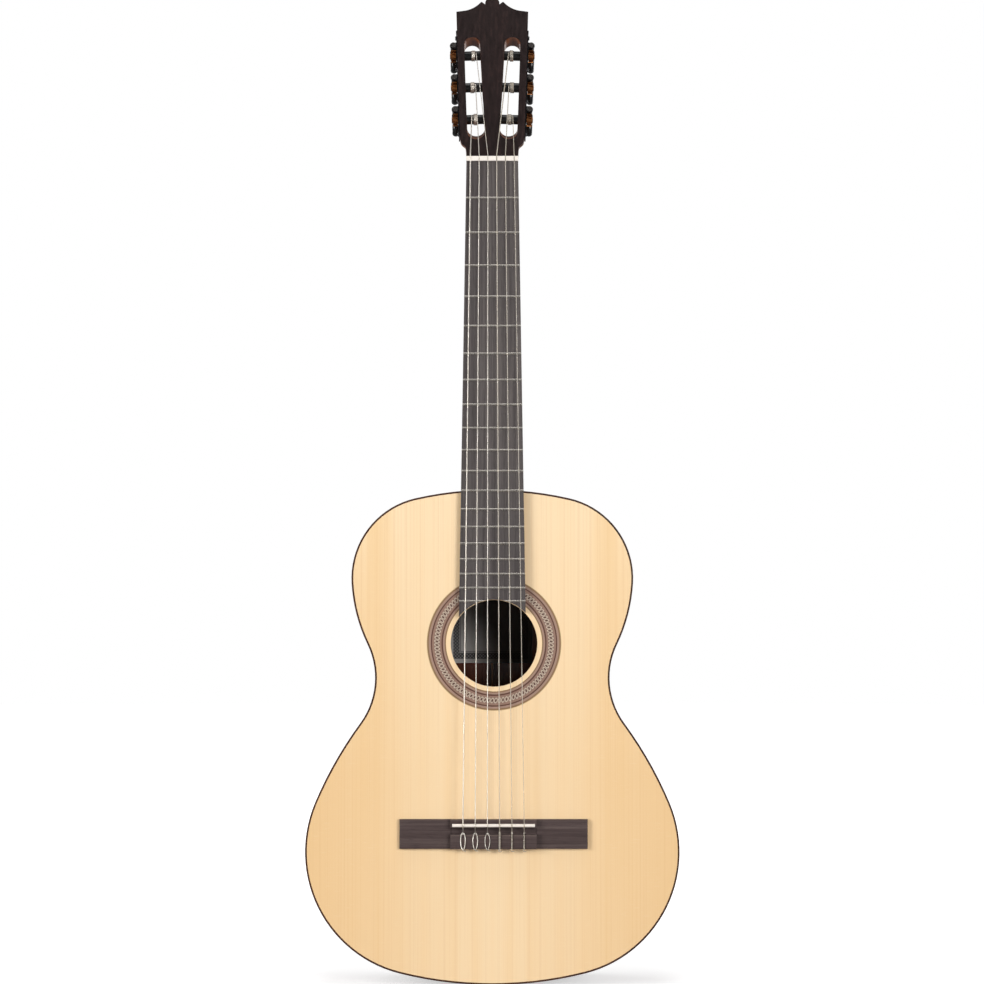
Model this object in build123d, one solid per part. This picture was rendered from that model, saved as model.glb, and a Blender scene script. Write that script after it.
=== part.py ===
from build123d import *
import os
from math import atan, atan2, cos, degrees, pi, radians, sin, sqrt

# A classical guitar, in millimetres.
# X runs across it, bass strings at -X. Y runs from front to back, and the player's side is -Y.
# Z runs along the neck, head up. The origin is on the centre line at the nut's front edge, in the plane
# where the fingerboard is glued to the neck, which is also the plane of the soundboard's face.

os.makedirs("parts", exist_ok=True)

# ---- driving dimensions -------------------------------------------------------------------------

scale_length = 650.0
string_names = ["e6", "a5", "d4", "g3", "b2", "e1"]
string_radii = [0.55, 0.43, 0.37, 0.51, 0.41, 0.36]
nut_string_spacing = 8.6
saddle_string_spacing = 11.9

# body outline: tangent arcs from the top centre round one half, each (radius, sweep in degrees),
# where a negative sweep is the hollow of the waist, and the last arc closes on the centre line
body_top = -323.7
bout_arcs = [(339.0, 12.9), (80.3, 80.6), (159.3, 22.4), (75.0, -62.2), (381.0, 13.4), (121.7, 98.9)]
depth_at_neck = 94.0
depth_at_tail = 100.0
soundboard_t = 2.5
back_t = 2.6
side_t = 1.8
binding_h = 6.0
lining_w = 5.5
lining_h = 13.0
brace_gap = 0.3

soundhole_x = 1.7
soundhole_z = -474.3
soundhole_r = 42.4
rosette_inner_r = 47.1
rosette_outer_r = 65.9
rosette_t = 1.0
patch_inner_r = 45.0
patch_outer_r = 68.0
patch_ends = (-519.0, -429.0)
patch_t = 2.0

# neck and fingerboard
fingerboard_t = 6.0
fingerboard_w_nut = 51.0
fingerboard_w_12th = 61.4
fingerboard_end_r = 42.9
fret_count = 19
fret_crown_w = 2.2
fret_crown_h = 1.0
fret_tang_w = 0.6
fret_tang_h = 2.2
neck_t_heel = 17.6
shaft_fullness = 2.4
heel_fullness = 2.0
# the neck's cross-sections behind the nut, each (place, depth, fullness)
throat_shapes = [(-14.0, 16.2, 2.8), (-34.0, 15.4, 2.4)]
heel_nose = 24.0
heel_curve_r = 24.0
heel_cap_half_w = 15.0
heel_end = 98.0
heel_cap_t = 2.6
tenon_w = 25.0
tenon_depth = 18.0
nut_t = 5.0
nut_top = 8.6
nut_slot_floor = 7.6
nut_slot_play = 0.1
saddle_top = 12.8

# head, measured along its face from the nut's back edge
head_tilt = 15.0
head_core_t = 19.0
veneer_t = 2.0
head_side_low = (32.1, 23.7)
head_side_high = (36.1, 158.6)
roller_rows = [43.7, 78.7, 113.7]
roller_depth = 7.5
slot_low = (16.2, 27.1, 8.7)
slot_high = (20.2, 123.3, 7.9)
slot_ramp = 13.0
shoulder_sweep = 21.0
shoulder_spare = 0.3

# bridge
bridge_x = 1.2
bridge_w = 183.5
bridge_top_z = -645.5
bridge_bottom_z = -674.1
bridge_centre_w = 84.0
bridge_block_h = 9.2
wing_h = 4.2
saddle_w = 80.4
saddle_t = 3.0
saddle_z = -651.1
tie_block_z = -660.0
channel_z = -654.0
channel_floor = 3.4
tie_hole_r = 1.1
tie_hole_height = 5.4
saddle_round = 1.2
saddle_foot = 3.6

# tuning machines, each with a single-start worm and a 14-tooth gear
blind_hole_l = 5.0
gear_teeth = 14
gear_module = 0.8
gear_w = 5.0
gear_offset = 4.0
worm_pitch_r = 2.2
mesh_play = 0.05
tooth_gap_root = 1.0
tooth_gap_tip = 2.3
thread_w_root = 1.3
thread_w_tip = 0.45
worm_turns = 4
plate_t = 1.0
plate_w = 17.0
roller_r = 4.7
running_gap = 0.06
journal_r = 2.9
post_r = 2.2
worm_journal_r = 1.9
lug_r = 3.5
lug_t = 1.6
lug_inner = 6.6
button_w = 19.0
button_l = 17.0
button_t = 7.0
button_round = 3.3
button_centre = 33.0
plate_screw_rows = [-51.0, -15.0, 20.0, 55.0]
plate_screw_r = 1.1
plate_screw_l = 6.0

# paper label on the back, seen through the soundhole
label_w = 84.0
label_h = 72.0
label_t = 0.3
label_x = -1.6
label_z = -459.0

# ---- worked out from the above ------------------------------------------------------------------

saddle_xs = [bridge_x + (i - 2.5) * saddle_string_spacing for i in range(6)]
nut_xs = [(i - 2.5) * nut_string_spacing for i in range(6)]
worm_pitch = pi * gear_module
gear_pitch_r = gear_module * gear_teeth / 2
gear_tip_r = gear_pitch_r + gear_module
gear_root_r = gear_pitch_r - 1.2 * gear_module
worm_tip_r = worm_pitch_r + 0.9 * gear_module
worm_root_r = worm_pitch_r - 1.15 * gear_module
worm_centre = gear_pitch_r + worm_pitch_r + mesh_play
worm_lead_tan = worm_pitch / (2 * pi * worm_pitch_r)
far = 400.0


def node(name, *shapes):
    """Writes one piece, or a group of separate solids, as a node."""
    solids = [solid for shape in shapes for solid in shape.solids()]
    piece = solids[0] if len(solids) == 1 else Compound(solids)
    export_step(piece, f"parts/{name}.step")


def slab(sketch, front, back):
    """A sketch drawn in X and Z, made solid between two depths."""
    plane = Plane(origin=(0, front, 0), x_dir=(1, 0, 0), z_dir=(0, -1, 0))
    return extrude(plane * sketch, amount=front - back)


def block(x, y, z):
    """A box between the given (low, high) limits."""
    centre = [(low + high) / 2 for low, high in (x, y, z)]
    return Pos(*centre) * Box(x[1] - x[0], y[1] - y[0], z[1] - z[0])


def cylinder_y(x, z, radius, front, back):
    return slab(Pos(x, z) * Circle(radius), front, back)


def rod_x(radius, start, end):
    """A cylinder on the X axis."""
    return Pos((start + end) / 2, 0, 0) * Rot(0, 90, 0) * Cylinder(radius, abs(end - start))


def rod_y(radius, start, end):
    """A cylinder on the Y axis."""
    return Pos(0, (start + end) / 2, 0) * Rot(90, 0, 0) * Cylinder(radius, abs(end - start))


# ---- body ---------------------------------------------------------------------------------------


def rim_outline(inset):
    """The body's outline in X and Z, moved inwards by inset."""
    start = Vector(0, body_top - inset)
    heading = Vector(1, 0)
    half = []
    turned = 0
    for radius, sweep in bout_arcs:
        hollow = -1 if sweep < 0 else 1
        arc = JernArc(start, heading, radius - hollow * inset, -sweep)
        half.append(arc)
        start = arc @ 1
        heading = arc % 1
        turned += sweep
    last_sweep = 180 - turned
    half.append(JernArc(start, heading, start.X / sin(radians(last_sweep)), -last_sweep))
    other = [mirror(arc, about=Plane.YZ) for arc in half]
    return make_face(Curve() + half + other)


body_bottom = rim_outline(0).bounding_box().min.Y
back_slope = atan((depth_at_tail - depth_at_neck) / (body_top - body_bottom))
back_plane = Plane(
    origin=(0, depth_at_neck, body_top),
    x_dir=(1, 0, 0),
    z_dir=(0, cos(back_slope), sin(back_slope)),
)


def behind_back(inset):
    """Everything behind the plane that lies inset in front of the back's outer face."""
    return back_plane.offset(-inset) * Pos(0, 0, far / 2) * Box(2 * far, 4 * far, far)


def on_back(x, z, width, height, low, high):
    """A box on the back's inner side, from low to high in front of the back's outer face."""
    down = (body_top - z) / cos(back_slope)
    return back_plane * Pos(x, down, -(low + high) / 2) * Box(width, height, high - low)


rim_depth = 130.0
rim_solid = slab(rim_outline(0), 0, rim_depth)
rim_inside = slab(rim_outline(side_t), 0, rim_depth)
rim_ring = rim_solid - rim_inside
brace_room = slab(rim_outline(side_t + lining_w + brace_gap), 0, rim_depth)

tenon = block((-tenon_w / 2, tenon_w / 2), (12, 76), (body_top - tenon_depth, body_top + 4))


def make_bindings():
    front = rim_ring & block((-far, far), (0, binding_h), (-2 * far - 100, 0))
    back = rim_ring & behind_back(binding_h)
    return front, back - behind_back(0)


def make_side(side):
    half = rim_ring & block(sorted((0, side * far)), (binding_h, rim_depth), (-2 * far - 100, 0))
    return half - behind_back(binding_h) - tenon


def make_soundboard():
    board = slab(rim_outline(side_t), 0, soundboard_t)
    board -= cylinder_y(soundhole_x, soundhole_z, soundhole_r, -1, soundboard_t + 1)
    return board - make_rosette()


def make_rosette():
    ring = cylinder_y(soundhole_x, soundhole_z, rosette_outer_r, 0, rosette_t)
    return ring - cylinder_y(soundhole_x, soundhole_z, rosette_inner_r, -1, rosette_t + 1)


def make_back():
    return (rim_inside & behind_back(back_t)) - behind_back(0)


def end_block(half_width, low, high):
    """A glue block that fills the rim's depth between soundboard and back."""
    raw = block((-half_width, half_width), (soundboard_t, rim_depth), (low, high))
    return (raw & rim_inside) - behind_back(back_t)


neck_block_solid = end_block(36, body_top - 52, body_top) - tenon
tail_block_solid = end_block(34, body_bottom, body_bottom + 16)


def make_linings():
    ring = rim_inside - slab(rim_outline(side_t + lining_w), 0, rim_depth)
    ring = ring - neck_block_solid - tail_block_solid - tenon
    front = ring & block((-far, far), (soundboard_t, soundboard_t + lining_h), (-2 * far - 100, 0))
    back = (ring & behind_back(back_t + lining_h)) - behind_back(back_t)
    return front, back


def make_soundhole_patch():
    """A thin reinforcing ring glued behind the soundhole, cut off flat next to the bars."""
    back = soundboard_t + patch_t
    patch = cylinder_y(soundhole_x, soundhole_z, patch_outer_r, soundboard_t, back)
    patch -= cylinder_y(soundhole_x, soundhole_z, patch_inner_r, 0, back + 1)
    return patch & block((-far, far), (0, 10), patch_ends)


def make_soundboard_braces():
    """Two harmonic bars above and below the soundhole, and seven fan struts."""
    bar_w = 8.0
    bar_h = 15.0
    strut_w = 5.0
    strut_h = 4.0
    inside = soundboard_t
    pieces = []
    for z in (-424.0, -524.0):
        bar = block((-far, far), (inside, inside + bar_h), (z - bar_w / 2, z + bar_w / 2))
        pieces.append(bar & brace_room)
    strut_top = -532.0
    strut_length = 232.0
    for i in range(-3, 4):
        spread = degrees(atan2(i * 25.0, strut_length))
        strut = Box(strut_w, strut_h, strut_length)
        strut = Pos(0, 0, -strut_length / 2) * strut
        strut = Pos(i * 12.0, inside + strut_h / 2, strut_top) * Rot(0, spread, 0) * strut
        pieces.append(strut & brace_room)
    return pieces


def make_back_braces():
    bar_w = 12.0
    bar_h = 14.0
    room = brace_room
    return [on_back(0, z, 2 * far, bar_w, back_t, back_t + bar_h) & room for z in (-400.0, -545.0, -690.0)]


def make_label():
    return on_back(label_x, label_z, label_w, label_h, back_t, back_t + label_t)


# ---- neck, fingerboard and head -----------------------------------------------------------------


def fingerboard_width(z):
    return fingerboard_w_nut - z * (fingerboard_w_12th - fingerboard_w_nut) / (scale_length / 2)


def fret_z(number):
    return -scale_length * (1 - 2 ** (-number / 12))


head_plane = Plane(
    origin=(0, 0, nut_t),
    x_dir=(1, 0, 0),
    z_dir=(0, -cos(radians(head_tilt)), sin(radians(head_tilt))),
)


def neck_section(base, depth_dir, half_width, depth, fullness):
    """A cross-section of the neck: rounded behind its base line, and square stock before it."""
    spare = 10.0
    bulge = 0.5 ** (1 / fullness)
    plane = Plane(origin=base, x_dir=(1, 0, 0), z_dir=Vector(1, 0, 0).cross(Vector(*depth_dir)))
    shares = [(-1, 0), (-bulge, bulge), (0, 1), (bulge, bulge), (1, 0)]
    places = [(half_width * across, depth * behind) for across, behind in shares]
    back = Spline(places, tangents=[(0, 1), (0, -1)])
    front = Polyline((half_width, 0), (half_width, -spare), (-half_width, -spare), (-half_width, 0))
    return plane * make_face(back + front)


def heel_half_width(y, z):
    """Half the neck's width where it meets the body, narrowing from the fingerboard to the heel cap."""
    narrowing = fingerboard_w_12th / 2 - heel_cap_half_w
    return fingerboard_width(z) / 2 - narrowing * (1 - (1 - y / heel_end) ** 1.6)


def make_neck_stock():
    """The carved shaft and heel, still too long at the body and too thick towards the front."""
    tilt = radians(head_tilt)
    foot = 7.0
    head_base = (0, foot * sin(tilt), nut_t + foot * cos(tilt))
    head_depth = (0, cos(tilt), -sin(tilt))
    sections = [neck_section(head_base, head_depth, fingerboard_w_nut / 2 - 0.5, head_core_t - 1.4, 3.0)]
    for z, depth, fullness in throat_shapes:
        sections.append(neck_section((0, 0, z), (0, 1, 0), fingerboard_width(z) / 2, depth, fullness))
    pivot_y = neck_t_heel + heel_curve_r
    pivot_z = body_top + heel_nose + heel_curve_r
    for angle in range(0, 91, 10):
        turn = radians(angle)
        to_front = pivot_y / cos(turn) if angle < 90 else far
        to_body = (pivot_z - body_top) / sin(turn) if angle > 0 else far
        reach = min(to_front, to_body)
        y = pivot_y - reach * cos(turn)
        z = pivot_z - reach * sin(turn)
        fullness = shaft_fullness + (heel_fullness - shaft_fullness) * angle / 90
        depth_dir = (0, cos(turn), sin(turn))
        depth = reach - heel_curve_r
        sections.append(neck_section((0, y, z), depth_dir, heel_half_width(y, z), depth, fullness))
    for y in (54.0, 68.0, 83.0, heel_end):
        nose = heel_nose - 0.03 * (y - pivot_y)
        half_width = heel_half_width(y, body_top)
        sections.append(neck_section((0, y, body_top), (0, 0, 1), half_width, nose, heel_fullness))
    return loft(sections, ruled=True)


def head_outline():
    """The head's outline across and along its face, with a crown of two horns and a round centre."""
    shoulder_start = (26.0, 8.0)
    shoulder_mid = (29.5, 13.2)
    horn_foot = (27.0, 159.9)
    horn_curve = (19.6, 162.6)
    horn_tip = (11.6, 169.2)
    notch = (7.1, 166.8)
    half = [
        Line((0, 0), (fingerboard_w_nut / 2, 0)),
        Line((fingerboard_w_nut / 2, 0), shoulder_start),
        Spline([shoulder_start, shoulder_mid, head_side_low], tangents=[(0, 1), (0.03, 1)]),
        Line(head_side_low, head_side_high),
        Line(head_side_high, horn_foot),
        ThreePointArc(horn_foot, horn_curve, horn_tip),
        ThreePointArc(horn_tip, (10.7, 169.5), (9.8, 169.0)),
        Line((9.8, 169.0), notch),
    ]
    other = [mirror(edge, about=Plane.YZ) for edge in half]
    crown = ThreePointArc(notch, (0, 175.1), (-notch[0], notch[1]))
    return make_face(Curve() + half + other + crown)


def slot_circles(side):
    """The round ends of one of the head's slots, and two more on its way up, where its ramp ends."""
    x1, s1, r1 = slot_low
    x2, s2, r2 = slot_high
    low = Pos(side * x1, s1) * Circle(r1)
    high = Pos(side * x2, s2) * Circle(r2)
    middle = Pos(side * (x1 + 1.0), s1 + 28) * Circle(r1 - 0.2)
    risen = Pos(side * (x1 + 0.5), s1 + slot_ramp) * Circle(r1 - 0.1)
    return low, risen, middle, high


def slot_opening(side):
    """The slot as seen on the head's face."""
    low, _, _, high = slot_circles(side)
    return extrude(head_plane.offset(-1) * make_hull(low.edges() + high.edges()), amount=veneer_t + 2)


def slot_cutter(side):
    """The slot through the neck's wood, with its lower end ramped towards the back."""
    low, risen, middle, high = slot_circles(side)
    straight = make_hull(risen.edges() + high.edges())
    ramped = Pos(0, -slot_ramp / head_core_t) * make_hull(low.edges() + middle.edges())
    top = head_plane.offset(1)
    slope = (head_plane.y_dir * slot_ramp - head_plane.z_dir * head_core_t).normalized()
    slant = (head_core_t + 2) * sqrt(1 + (slot_ramp / head_core_t) ** 2)
    return extrude(top * straight, amount=-head_core_t - 2) + extrude(top * ramped, amount=slant, dir=slope)


def head_side_x(s):
    """Half the head's width at a height s on its face."""
    x1, s1 = head_side_low
    x2, s2 = head_side_high
    return x1 + (s - s1) * (x2 - x1) / (s2 - s1)


head_taper = atan((head_side_high[0] - head_side_low[0]) / (head_side_high[1] - head_side_low[1]))


def tuner_plane(side, s):
    """A tuner's own frame: X across the head towards treble, Y to the back, Z up along the head's side.
    Its origin is on the roller's axis where it leaves the wood."""
    up = head_plane.y_dir * cos(head_taper) + head_plane.x_dir * side * sin(head_taper)
    across = head_plane.x_dir * cos(head_taper) - head_plane.y_dir * side * sin(head_taper)
    origin = head_plane.from_local_coords((side * head_side_x(s), s, -roller_depth))
    return Plane(origin=origin, x_dir=across, z_dir=up)


def slot_inner_x(s):
    """The slot's wall nearest the head's centre, at a height s."""
    x1, s1, r1 = slot_low
    x2, s2, r2 = slot_high
    share = (s - s1) / (s2 - s1)
    return x1 - r1 + share * ((x2 - r2) - (x1 - r1))


def roller_reach(s):
    """How far the roller's blind hole goes inwards from the head's side."""
    return (head_side_x(s) - slot_inner_x(s) + blind_hole_l) / cos(head_taper)


def shoulder_waste(side):
    """What is carved off outside the head's shoulders, so that they sweep up towards the head's back."""
    x1, s1 = head_side_low
    inner = fingerboard_w_nut / 2 + shoulder_spare
    below = 8.0
    waste = Pos(side * (inner + x1 / 2), (s1 - below) / 2) * Rectangle(x1, s1 + below)
    waste -= Pos(side * shoulder_spare, 0) * head_outline()
    turn = radians(shoulder_sweep)
    back = head_plane.y_dir * sin(turn) - head_plane.z_dir * cos(turn)
    return extrude(head_plane * waste, amount=2 * head_core_t, dir=back)


def make_neck():
    stock = make_neck_stock()
    stock -= block((-far, far), (-far, 0), (-2 * far, far))
    stock -= head_plane * Pos(0, 0, far / 2) * Box(far, far, far)
    stock -= slab(rim_outline(0), -20, rim_depth)
    stock -= block((-far, far), (depth_at_neck - heel_cap_t, far), (-2 * far, far))
    head = extrude(head_plane * head_outline(), amount=-head_core_t)
    for side in (-1, 1):
        head -= shoulder_waste(side)
    neck = stock + head
    neck += tenon - slab(rim_outline(-3), 0, rim_depth)
    neck += tenon & rim_solid
    for side in (-1, 1):
        neck -= slot_cutter(side)
        for s in roller_rows:
            hole = rod_x(roller_r + running_gap, side * 2, -side * (roller_reach(s) + 0.4))
            neck -= tuner_plane(side, s).location * hole
        middle = tuner_plane(side, roller_rows[1]).location
        for z in plate_screw_rows:
            neck -= middle * Pos(0, 0, z) * rod_x(plate_screw_r, side, -side * plate_screw_l)
    return neck


def make_heel_cap():
    cap = make_neck_stock() & block((-far, far), (depth_at_neck - heel_cap_t, depth_at_neck), (-2 * far, 0))
    return cap - slab(rim_outline(0), -20, rim_depth)


def make_veneer():
    veneer = extrude(head_plane * head_outline(), amount=veneer_t)
    veneer += extrude(head_plane * Pos(0, -0.5) * Rectangle(fingerboard_w_nut, 1), amount=veneer_t)
    veneer -= block((-far, far), (-far, far), (-far, nut_t))
    for side in (-1, 1):
        veneer -= slot_opening(side)
    return veneer


def fingerboard_plan():
    low = -460.0
    half_nut = fingerboard_w_nut / 2
    half_low = fingerboard_width(low) / 2
    plan = make_face(Polyline((-half_nut, 0), (half_nut, 0), (half_low, low), (-half_low, low), close=True))
    return plan - Pos(soundhole_x, soundhole_z) * Circle(fingerboard_end_r)


def make_fret_bar(number):
    """A fret's crown and tang, longer than the fingerboard is wide."""
    half = fret_crown_w / 2
    crown = make_face(ThreePointArc((-half, 0), (0, fret_crown_h), (half, 0)) + Line((half, 0), (-half, 0)))
    tang = Pos(0, -fret_tang_h / 2) * Rectangle(fret_tang_w, fret_tang_h)
    plane = Plane(origin=(-far / 2, -fingerboard_t, fret_z(number)), x_dir=(0, 0, 1), z_dir=(1, 0, 0))
    return extrude(plane * (crown + tang), amount=far)


def make_frets_and_fingerboard():
    plan = fingerboard_plan()
    board = slab(plan, -fingerboard_t, 0)
    room = slab(plan, -fingerboard_t - 3, 0)
    frets = []
    for number in range(1, fret_count + 1):
        fret = make_fret_bar(number) & room
        frets.append(fret)
        board -= fret
    return frets, board


def make_nut():
    nut = block((-fingerboard_w_nut / 2, fingerboard_w_nut / 2), (-nut_top, 0), (0, nut_t))
    nut = fillet(nut.edges().filter_by(Axis.X).group_by(Axis.Y)[0].sort_by(Axis.Z)[-1], 2.0)
    for x, radius in zip(nut_xs, string_radii):
        bottom = -nut_slot_floor - radius
        half = radius + nut_slot_play
        nut -= Pos(x, bottom, nut_t / 2) * Cylinder(half, 3 * nut_t)
        nut -= block((x - half, x + half), (-nut_top - 2, bottom), (-1, nut_t + 1))
    return nut


# ---- bridge and saddle --------------------------------------------------------------------------


def front_edges(shape, axis):
    """The edges along an axis on a shape's front face."""
    return shape.edges().filter_by(axis).group_by(Axis.Y)[0]


saddle_room = [(-saddle_w / 2, saddle_w / 2), (saddle_z - saddle_t / 2, saddle_z + saddle_t / 2)]


def make_bridge():
    half = bridge_w / 2
    half_centre = bridge_centre_w / 2
    wings = block((-half, half), (-wing_h, 0), (bridge_bottom_z, bridge_top_z))
    wings = fillet(front_edges(wings, Axis.Z), 1.2)
    front = block((-half_centre, half_centre), (-bridge_block_h, 0), (channel_z, bridge_top_z))
    front = fillet(front_edges(front, Axis.X) + front_edges(front, Axis.Z), 0.8)
    tie = block((-half_centre, half_centre), (-bridge_block_h, 0), (bridge_bottom_z, tie_block_z))
    tie = fillet(front_edges(tie, Axis.X) + front_edges(tie, Axis.Z), 0.35)
    bridge = wings + front + tie
    above = -2 * bridge_block_h
    bridge -= block((-half_centre, half_centre), (above, -channel_floor), (tie_block_z, channel_z))
    bridge -= block(saddle_room[0], (above, -saddle_foot), saddle_room[1])
    bridge = Pos(bridge_x, 0, 0) * bridge
    for x in saddle_xs:
        hole = Pos(x, -tie_hole_height, (tie_block_z + bridge_bottom_z) / 2)
        bridge -= hole * Cylinder(tie_hole_r, 20)
    return bridge


def make_saddle():
    saddle = block(saddle_room[0], (-saddle_top, -saddle_foot), saddle_room[1])
    return Pos(bridge_x, 0, 0) * fillet(front_edges(saddle, Axis.X), saddle_round)


# ---- tuning machines ----------------------------------------------------------------------------


def facing(shape, side):
    """A piece made for the treble side, or its mirror image for the bass side."""
    return shape if side > 0 else mirror(shape, about=Plane.YZ)


def trapezoid(low_w, low, high_w, high):
    """A face that is low_w wide at one height and high_w wide at the other."""
    corners = [(-low_w / 2, low), (low_w / 2, low), (high_w / 2, high), (-high_w / 2, high)]
    return make_face(Polyline(*corners, close=True))


def make_roller(side, s):
    reach = roller_reach(s)
    roller = rod_x(roller_r, -0.3, -reach)
    roller += rod_x(journal_r, -0.3, plate_t + 0.4)
    roller += rod_x(post_r, plate_t + 0.4, gear_offset + gear_w / 2)
    roller -= rod_x(1.0, gear_offset + gear_w / 2, gear_offset - 1.5)
    return facing(roller, side)


def make_gear():
    """A gear whose tooth gaps lean with the worm's thread, centred on the X axis."""
    disc = rod_x(gear_tip_r, -gear_w / 2, gear_w / 2)
    top = gear_tip_r + 0.4
    gap = trapezoid(tooth_gap_root, gear_root_r, tooth_gap_tip, top)
    lean = Vector(1, -worm_lead_tan, 0)
    start = Plane(origin=-gear_w * lean, x_dir=(0, 1, 0), z_dir=(1, 0, 0))
    cutter = extrude(start * gap, amount=2 * gear_w * lean.length, dir=lean.normalized())
    for k in range(gear_teeth):
        disc -= Rot(360 * k / gear_teeth, 0, 0) * cutter
    return disc - rod_x(post_r, -gear_w, gear_w)


def make_gear_screw(side):
    head = rod_x(2.7, gear_offset + gear_w / 2, gear_offset + gear_w / 2 + 1.2)
    head -= Pos(gear_offset + gear_w / 2 + 1.2, 0, 0) * Box(1.2, 0.6, 8)
    shank = rod_x(1.0, gear_offset - 1.5, gear_offset + gear_w / 2)
    return facing(head + shank, side)


def make_worm_shaft(side):
    """The worm with its journals, collars and button stem, on the Y axis."""
    shaft = rod_y(worm_journal_r, -lug_inner - lug_t - 0.4, -lug_inner + 0.3)
    shaft += rod_y(worm_root_r, -lug_inner, lug_inner)
    shaft += rod_y(worm_journal_r, lug_inner - 0.3, 24.0)
    shaft += rod_y(1.4, 24.0, 36.0)
    shaft += rod_y(2.9, -lug_inner - lug_t - 1.6, -lug_inner - lug_t - 0.2)
    shaft += rod_y(2.9, lug_inner + lug_t + 0.2, lug_inner + lug_t + 1.4)
    profile = trapezoid(thread_w_root, -0.15, thread_w_tip, worm_tip_r - worm_root_r)
    helix = Helix(pitch=worm_pitch, height=worm_turns * worm_pitch, radius=worm_root_r)
    section = Plane(origin=(worm_root_r, 0, 0), x_dir=(0, 0, 1), z_dir=(0, 1, 0)) * profile
    thread = sweep(section, path=helix, is_frenet=True)
    thread = Pos(0, 0, -worm_turns * worm_pitch / 2) * thread
    to_shaft = Plane(origin=(0, 0, 0), x_dir=(0, 0, -1), z_dir=(0, 1, 0))
    shaft += to_shaft.location * thread
    return Pos(side * gear_offset, 0, worm_centre) * shaft


def make_button(side):
    """An oval button on the end of the worm's stem."""
    oval = extrude(Plane.YZ.offset(-button_t / 2) * Ellipse(button_l / 2, button_w / 2), amount=button_t)
    oval = fillet(oval.edges(), button_round)
    button = Pos(0, button_centre, 0) * oval
    button += Pos(0, 25.6, 0) * Rot(90, 0, 0) * Cone(3.0, 2.6, 3.2)
    button -= rod_y(1.4, 20, 36)
    return Pos(side * gear_offset, 0, worm_centre) * button


def make_plate(side):
    """A side plate with scalloped edges and three pairs of worm bearings, in the middle roller's frame."""
    low = -52.0
    high = 57.0
    plan = Pos(0, (low + high) / 2) * Rectangle(plate_w, high - low)
    plan += Pos(0, low) * Circle(6.0)
    plan += Pos(0, high) * Circle(6.0)
    row = roller_rows[1] - roller_rows[0]
    for z in (-17.0, 18.5):
        for y in (-1, 1):
            plan -= Pos(y * (plate_w / 2 + 3.2), z) * Circle(6.5)
    for y in (-1, 1):
        plan -= Pos(y * plate_w / 2, low - 1) * Circle(5.0)
        plan -= Pos(y * plate_w / 2, high + 1) * Circle(5.0)
    plate = extrude(Plane.YZ * plan, amount=plate_t)
    for k in (-1, 0, 1):
        plate -= Pos(0, 0, k * row) * rod_x(journal_r + running_gap, -1, plate_t + 1)
        for near in (-lug_inner - lug_t, lug_inner):
            lug_plan = Pos(gear_offset, 0) * Circle(lug_r)
            lug_plan += Pos(gear_offset / 2, 0) * Rectangle(gear_offset, 2 * lug_r)
            lug_plane = Plane(origin=(0, near, k * row + worm_centre), x_dir=(1, 0, 0), z_dir=(0, 1, 0))
            plate += extrude(lug_plane * lug_plan, amount=lug_t)
        hole = Pos(gear_offset, 0, k * row + worm_centre) * rod_y(worm_journal_r + running_gap, -12, 12)
        plate -= hole
    for z in plate_screw_rows:
        plate -= Pos(0, 0, z) * rod_x(plate_screw_r, -1, plate_t + 1)
    return facing(plate, side)


def make_plate_screw():
    head = rod_x(2.1, plate_t, plate_t + 1.0)
    head = fillet(head.edges().sort_by(Axis.X)[-1], 0.6)
    head -= Pos(plate_t + 1.0, 0, 0) * Box(1.0, 0.5, 6)
    return head + rod_x(plate_screw_r, plate_t, -plate_screw_l)


# ---- strings ------------------------------------------------------------------------------------

# for each string: the side and row of its roller, and where it meets the roller, from the centre line
string_ends = [(-1, 0, 20.4), (-1, 1, 16.6), (-1, 2, 16.2), (1, 2, 16.2), (1, 1, 16.6), (1, 0, 20.4)]
winding_turns = [3, 4, 4, 3, 4, 4]
wind_inwards = [True, False, False, False, False, True]
string_gap = 0.25


def nut_exit(i):
    """Where a string's centre line leaves the nut and turns down to the head."""
    return Vector(nut_xs[i], -nut_slot_floor - string_radii[i], nut_t + 0.6)


def string_meets_roller(i):
    """The point where a string first touches its roller, and the direction it comes from."""
    side, row, x = string_ends[i]
    s_centre = roller_rows[row]
    radius = roller_r + string_radii[i] + string_gap
    start = head_plane.to_local_coords(nut_exit(i))
    reach = sqrt((s_centre - start.Y) ** 2 + (-roller_depth - start.Z) ** 2)
    lift = atan2(radius, sqrt(reach ** 2 - radius ** 2))
    heading = atan2(-roller_depth - start.Z, s_centre - start.Y) + lift
    length = sqrt(reach ** 2 - radius ** 2)
    touch = (side * x, start.Y + length * cos(heading), start.Z + length * sin(heading))
    return head_plane.from_local_coords(touch)


def make_string(i):
    """One string: over and through the tie block, over the saddle and nut, and up to its roller."""
    radius = string_radii[i]
    x = saddle_xs[i]
    clear = radius + 0.1
    over_block = -bridge_block_h - clear
    behind_block = bridge_bottom_z - clear
    saddle_turn = saddle_round + radius + 0.04
    saddle_rear_z = saddle_z - saddle_t / 2 + saddle_round - 0.49 * saddle_turn
    saddle_point = Vector(x, -saddle_top + saddle_round - saddle_turn, saddle_rear_z)
    nut_point = nut_exit(i)
    touch = string_meets_roller(i)
    end = touch + (touch - nut_point).normalized() * 1.0
    points = [
        (x, over_block, tie_block_z - 2),
        (x, over_block, behind_block),
        (x, -tie_hole_height, behind_block),
        (x, -tie_hole_height, tie_block_z + 0.9),
        saddle_point,
        nut_point,
        end,
    ]
    path = FilletPolyline(*points, radius=[radius + 0.2, radius + 0.2, 1.2, saddle_turn, 5.0])
    start = Plane(origin=path @ 0, z_dir=path % 0)
    return sweep(start * Circle(radius), path=path)


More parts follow.
